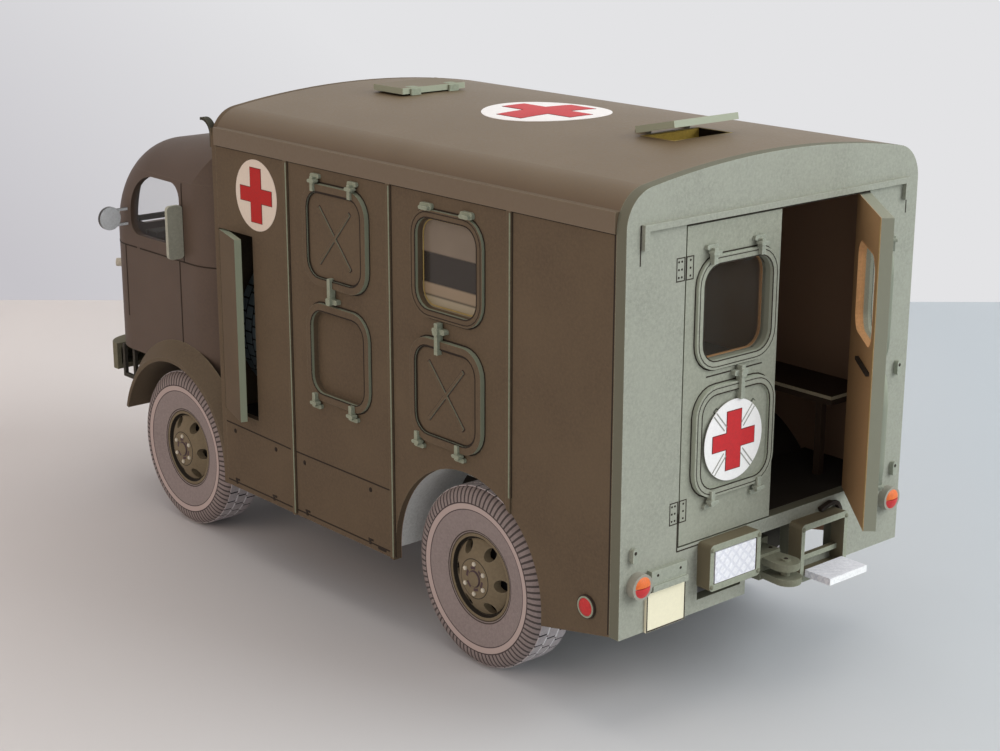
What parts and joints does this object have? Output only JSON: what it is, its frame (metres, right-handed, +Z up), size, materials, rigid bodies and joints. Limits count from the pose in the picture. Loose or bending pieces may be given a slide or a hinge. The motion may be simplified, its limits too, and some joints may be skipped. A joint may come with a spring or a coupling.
{
  "type": "model ambulance truck",
  "caption": "Printed card scale model of a four-wheel box-body ambulance truck, with turning wheels, hinged rear doors, spare wheel hatch, roof lids and folding steps.",
  "frame": {"origin": "on the ground below the middle of the model's length and width", "axes": "+X forward, +Y to the vehicle's left, +Z up"},
  "size_m": [0.1624, 0.0692, 0.0856],
  "materials": {
    "side_card": "matte printed card, brownish olive",
    "rear_card": "matte printed card, pale grey-green",
    "roof_card": "matte printed card, grey-brown",
    "fitting_card": "matte printed card, light olive",
    "interior_card": "matte card, dark brown",
    "raw_card": "raw card, cream",
    "chassis_card": "matte printed card, near black",
    "tyre_card": "matte printed card, grey",
    "rim_card": "matte printed card, olive",
    "lamp_card": "matte printed card, red and orange",
    "plate_card": "matte printed card, cream",
    "clear_film": "clear film"
  },
  "bodies": {
    "truck": {"box_side_left": "side_card", "box_side_right": "side_card", "window_frames": "fitting_card", "window_covers": "fitting_card", "side_panes": "clear_film", "box_front_wall": "side_card", "rear_frame": "rear_card", "drip_moulding": "rear_card", "box_roof": "roof_card", "box_floor": "interior_card", "arch_liners": "chassis_card", "spare_bay": "interior_card", "benches": "raw_card", "step_frames": "fitting_card", "tail_lamps": "lamp_card", "side_reflectors": "lamp_card", "number_plate": "plate_card", "tow_hook": "chassis_card", "chassis_frame": "chassis_card", "front_axle": "chassis_card", "rear_axle": "chassis_card", "leaf_springs": "chassis_card", "engine": "chassis_card", "drive_shafts": "chassis_card", "spare_tyre": "tyre_card", "spare_rim": "rim_card", "cab_body": "side_card", "cab_roof": "side_card", "cab_glass": "clear_film", "front_wings": "side_card", "cab_floor": "interior_card", "seats": "interior_card", "dashboard": "interior_card", "front_bumper": "side_card", "front_lamps": "plate_card", "stirrups": "chassis_card", "mirrors": "fitting_card", "signal_boxes": "fitting_card"},
    "rear_door_left_leaf": {"rear_door_left": "rear_card", "rear_door_left_window_frame": "rear_card", "rear_door_left_cover": "rear_card", "rear_door_left_pane": "clear_film"},
    "rear_door_right_leaf": {"rear_door_right": "rear_card", "rear_door_right_window_frame": "rear_card", "rear_door_right_cover": "rear_card", "rear_door_right_pane": "clear_film"},
    "hatch_flap": {"spare_hatch_flap": "side_card"},
    "rear_roof_lid": {"roof_lid_rear": "roof_card"},
    "front_roof_lid": {"roof_lid_front": "roof_card"},
    "left_tread": {"step_tread_left": "fitting_card"},
    "right_tread": {"step_tread_right": "fitting_card"},
    "wheel_front_left": {"tyre_front_left": "tyre_card", "rim_front_left": "rim_card"},
    "wheel_front_right": {"tyre_front_right": "tyre_card", "rim_front_right": "rim_card"},
    "wheel_rear_left": {"tyre_rear_left": "tyre_card", "rim_rear_left": "rim_card"},
    "wheel_rear_right": {"tyre_rear_right": "tyre_card", "rim_rear_right": "rim_card"}
  },
  "joints": [
    {"name": "front_left_wheel_spin", "type": "hinge", "parent": "truck", "child": "wheel_front_left", "pos_m": [0.05166, 0.02525, 0.01456], "axis": [0, 1, 0], "continuous": true},
    {"name": "front_right_wheel_spin", "type": "hinge", "parent": "truck", "child": "wheel_front_right", "pos_m": [0.05166, -0.02525, 0.01456], "axis": [0, 1, 0], "continuous": true},
    {"name": "rear_left_wheel_spin", "type": "hinge", "parent": "truck", "child": "wheel_rear_left", "pos_m": [-0.03274, 0.02525, 0.01456], "axis": [0, 1, 0], "continuous": true},
    {"name": "rear_right_wheel_spin", "type": "hinge", "parent": "truck", "child": "wheel_rear_right", "pos_m": [-0.03274, -0.02525, 0.01456], "axis": [0, 1, 0], "continuous": true},
    {"name": "rear_door_left_hinge", "type": "hinge", "parent": "truck", "child": "rear_door_left_leaf", "pos_m": [-0.06634, 0.0199, 0.05], "axis": [0, 0, -1], "range_deg": [0, 110]},
    {"name": "rear_door_right_hinge", "type": "hinge", "parent": "truck", "child": "rear_door_right_leaf", "pos_m": [-0.06634, -0.0199, 0.05], "axis": [0, 0, 1], "range_deg": [-48, 62]},
    {"name": "hatch_flap_hinge", "type": "hinge", "parent": "truck", "child": "hatch_flap", "pos_m": [0.03346, 0.0314, 0.04355], "axis": [0, 0, -1], "range_deg": [-18.3, 91.7]},
    {"name": "rear_roof_lid_hinge", "type": "hinge", "parent": "truck", "child": "rear_roof_lid", "pos_m": [-0.04304, 0, 0.08389], "axis": [0, 1, 0], "range_deg": [-12, 88]},
    {"name": "front_roof_lid_hinge", "type": "hinge", "parent": "truck", "child": "front_roof_lid", "pos_m": [0.01266, 0, 0.08389], "axis": [0, -1, 0], "range_deg": [0, 100]},
    {"name": "left_tread_hinge", "type": "hinge", "parent": "truck", "child": "left_tread", "pos_m": [-0.06859, 0.01015, 0.0206], "axis": [0, -1, 0], "range_deg": [0, 90]},
    {"name": "right_tread_hinge", "type": "hinge", "parent": "truck", "child": "right_tread", "pos_m": [-0.06859, -0.01015, 0.017], "axis": [0, 1, 0], "range_deg": [0, 90]}
  ]
}
